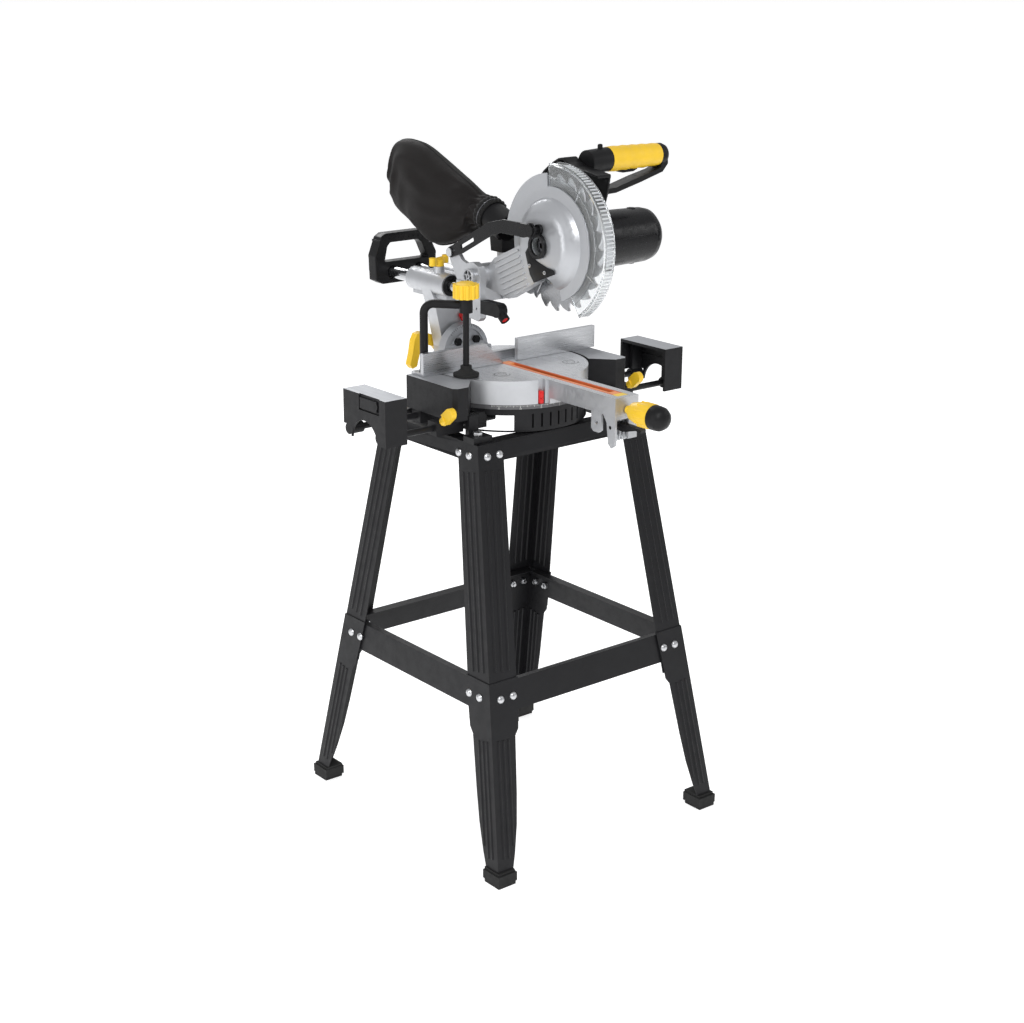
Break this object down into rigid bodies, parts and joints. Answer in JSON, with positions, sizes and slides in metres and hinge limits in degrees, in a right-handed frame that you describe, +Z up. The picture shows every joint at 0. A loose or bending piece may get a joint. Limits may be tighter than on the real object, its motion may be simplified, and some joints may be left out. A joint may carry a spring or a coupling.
{
  "type": "sliding compound mitre saw on leg stand",
  "caption": "Sliding compound mitre saw with a tilting, chopping blade head, fence, work clamp and side wings, bolted on a black four-legged pressed-steel stand",
  "frame": {"origin": "centre of the bounding box footprint, on the floor under the stand", "axes": "+Z up, +X the operator's right, +Y away from the operator, the fence runs along X"},
  "size_m": [0.612, 0.6906, 1.1184],
  "materials": {
    "stand_steel": "satin black powder coat",
    "zinc": "zinc plated",
    "rubber": "matt",
    "base_black": "satin",
    "scale_dark": "satin",
    "cast_alu": "fine cast, machined top faces",
    "insert": "matt",
    "red": "gloss",
    "yellow": "soft touch",
    "black_plastic": "fine texture",
    "chrome": "polished",
    "steel": "brushed",
    "clear": "clear polycarbonate",
    "cloth": "woven black",
    "copper": "wound copper",
    "painted_silver": "silver paint"
  },
  "bodies": {
    "stand": {"upper_legs": "stand_steel", "lower_legs": "stand_steel", "top_rails": "stand_steel", "mid_rails": "stand_steel", "rubber_feet": "rubber", "stand_bolts": "zinc", "stand_nuts": "zinc", "saw_base": "base_black", "mitre_scale_ring": "scale_dark", "fence": "cast_alu", "base_bolts": "zinc"},
    "table": {"turntable": "cast_alu", "kerf_insert": "insert", "mitre_pointer": "red", "bevel_trunnion": "cast_alu", "bevel_stop_bolts": "black_plastic", "detent_bracket": "cast_alu"},
    "mitre_lock": {"mitre_lock_handle": "yellow", "mitre_lock_cap": "black_plastic"},
    "detent": {"detent_lever": "black_plastic"},
    "tilt_arm": {"bevel_arm": "cast_alu", "rail_bushes": "black_plastic", "bevel_pointer": "red", "bevel_pin": "steel"},
    "bevel_lock": {"bevel_lock_lever": "yellow"},
    "slide_lock": {"slide_lock_knob": "yellow"},
    "carriage": {"slide_rails": "chrome", "rear_carry_handle": "black_plastic", "head_bracket": "cast_alu", "laser_unit": "black_plastic", "laser_lens": "red", "chop_pin": "steel"},
    "head": {"head_casting": "cast_alu", "blade_cover": "painted_silver", "upper_shroud": "black_plastic", "motor_housing": "black_plastic", "motor_stator": "steel", "brush_caps": "black_plastic", "handle_frame": "black_plastic", "handle_grip": "yellow", "dust_chute": "black_plastic", "dust_bag": "cloth"},
    "trigger_body": {"trigger": "black_plastic"},
    "lock_off_body": {"lock_off_button": "black_plastic"},
    "blade": {"saw_blade": "steel", "arbor": "steel"},
    "armature_body": {"armature": "copper"},
    "guard": {"lower_guard": "clear", "guard_crank": "black_plastic"},
    "link": {"guard_link": "black_plastic"},
    "clamp": {"clamp_arm": "black_plastic"},
    "clamp_foot": {"clamp_pad": "rubber"},
    "clamp_turn": {"clamp_screw": "black_plastic", "clamp_knob": "yellow"},
    "wing_l": {"wing_left": "base_black"},
    "wing_r": {"wing_right": "base_black"},
    "stop_l": {"wing_stop_left": "base_black"},
    "knob_l": {"wing_knob_left": "yellow"},
    "knob_r": {"wing_knob_right": "yellow"}
  },
  "joints": [
    {"name": "mitre_swivel", "type": "hinge", "parent": "stand", "child": "table", "pos_m": [0, 0.02568, 0.765], "axis": [0, 0, 1], "range_deg": [-30, 45]},
    {"name": "mitre_lock_turn", "type": "hinge", "parent": "table", "child": "mitre_lock", "pos_m": [0, -0.29431, 0.745], "axis": [0, 1, 0], "range_deg": [-180, 0]},
    {"name": "detent_press", "type": "hinge", "parent": "table", "child": "detent", "pos_m": [0, -0.24832, 0.718], "axis": [1, 0, 0], "range_deg": [0, 10], "stiffness_Nm_per_rad": 0.6, "springref_deg": -17.19},
    {"name": "bevel_tilt", "type": "hinge", "parent": "table", "child": "tilt_arm", "pos_m": [0, 0.15568, 0.765], "axis": [0, -1, 0], "range_deg": [0, 15]},
    {"name": "bevel_lock_swing", "type": "hinge", "parent": "tilt_arm", "child": "bevel_lock", "pos_m": [0, 0.20369, 0.765], "axis": [0, 1, 0], "range_deg": [0, 35]},
    {"name": "slide_lock_turn", "type": "hinge", "parent": "tilt_arm", "child": "slide_lock", "pos_m": [-0.039, 0.15768, 0.91], "axis": [0, 0, 1], "range_deg": [-90, 90]},
    {"name": "carriage_slide", "type": "slide", "parent": "tilt_arm", "child": "carriage", "axis": [0, 1, 0], "range_m": [-0.055, 0.03]},
    {"name": "chop", "type": "hinge", "parent": "carriage", "child": "head", "pos_m": [-0.009, 0.04868, 0.909], "axis": [1, 0, 0], "range_deg": [0, 41], "stiffness_Nm_per_rad": 14, "springref_deg": -80.21},
    {"name": "guard_swing", "type": "hinge", "parent": "head", "child": "guard", "pos_m": [0, -0.09631, 0.974], "axis": [1, 0, 0], "range_deg": [-52.92, 0.4]},
    {"name": "guard_link_swing", "type": "hinge", "parent": "carriage", "child": "link", "pos_m": [-0.057, 0.09968, 0.941], "axis": [1, 0, 0], "range_deg": [-0.4, 31.56]},
    {"name": "blade_spin", "type": "hinge", "parent": "head", "child": "blade", "pos_m": [0, -0.09631, 0.974], "axis": [1, 0, 0], "continuous": true},
    {"name": "armature_spin", "type": "hinge", "parent": "head", "child": "armature_body", "pos_m": [0.111, -0.07132, 0.966], "axis": [1, 0, 0], "continuous": true},
    {"name": "trigger_pull", "type": "slide", "parent": "head", "child": "trigger_body", "axis": [0, 0, 1], "range_m": [0, 0.0045], "stiffness_N_per_m": 600, "springref_m": -0.004},
    {"name": "lock_off_press", "type": "slide", "parent": "head", "child": "lock_off_body", "axis": [0, 0, -1], "range_m": [0, 0.0025], "stiffness_N_per_m": 500, "springref_m": -0.003},
    {"name": "clamp_swivel", "type": "hinge", "parent": "stand", "child": "clamp", "pos_m": [-0.154, 0.04469, 0.765], "axis": [0, 0, -1], "range_deg": [-6, 38]},
    {"name": "clamp_pad_lift", "type": "slide", "parent": "clamp", "child": "clamp_foot", "axis": [0, 0, 1], "range_m": [0, 0.03]},
    {"name": "clamp_screw_turn", "type": "hinge", "parent": "clamp_foot", "child": "clamp_turn", "pos_m": [-0.11, -0.00632, 0.865], "axis": [0, 0, 1], "range_deg": [0, 3602]},
    {"name": "wing_left_slide", "type": "slide", "parent": "stand", "child": "wing_l", "axis": [-1, 0, 0], "range_m": [-0.05, 0.02]},
    {"name": "wing_right_slide", "type": "slide", "parent": "stand", "child": "wing_r", "axis": [1, 0, 0], "range_m": [-0.05, 0.02]},
    {"name": "length_stop_flip", "type": "hinge", "parent": "wing_l", "child": "stop_l", "pos_m": [-0.305, -0.03632, 0.752], "axis": [1, 0, 0], "range_deg": [0, 90]},
    {"name": "wing_lock_left_turn", "type": "hinge", "parent": "stand", "child": "knob_l", "pos_m": [-0.193, -0.04231, 0.703], "axis": [0, -0.766, 0.6428], "range_deg": [-60, 60]},
    {"name": "wing_lock_right_turn", "type": "hinge", "parent": "stand", "child": "knob_r", "pos_m": [0.193, -0.04231, 0.703], "axis": [0, -0.766, 0.6428], "range_deg": [-60, 60]}
  ],
  "couplings": [
    {"joint": "guard_swing", "follows": "chop", "ratio": -1.281},
    {"joint": "guard_link_swing", "follows": "chop", "ratio": 0.76},
    {"joint": "armature_spin", "follows": "blade_spin", "ratio": -4.2},
    {"joint": "clamp_screw_turn", "follows": "clamp_pad_lift", "rad_per_m": 2094.4}
  ]
}
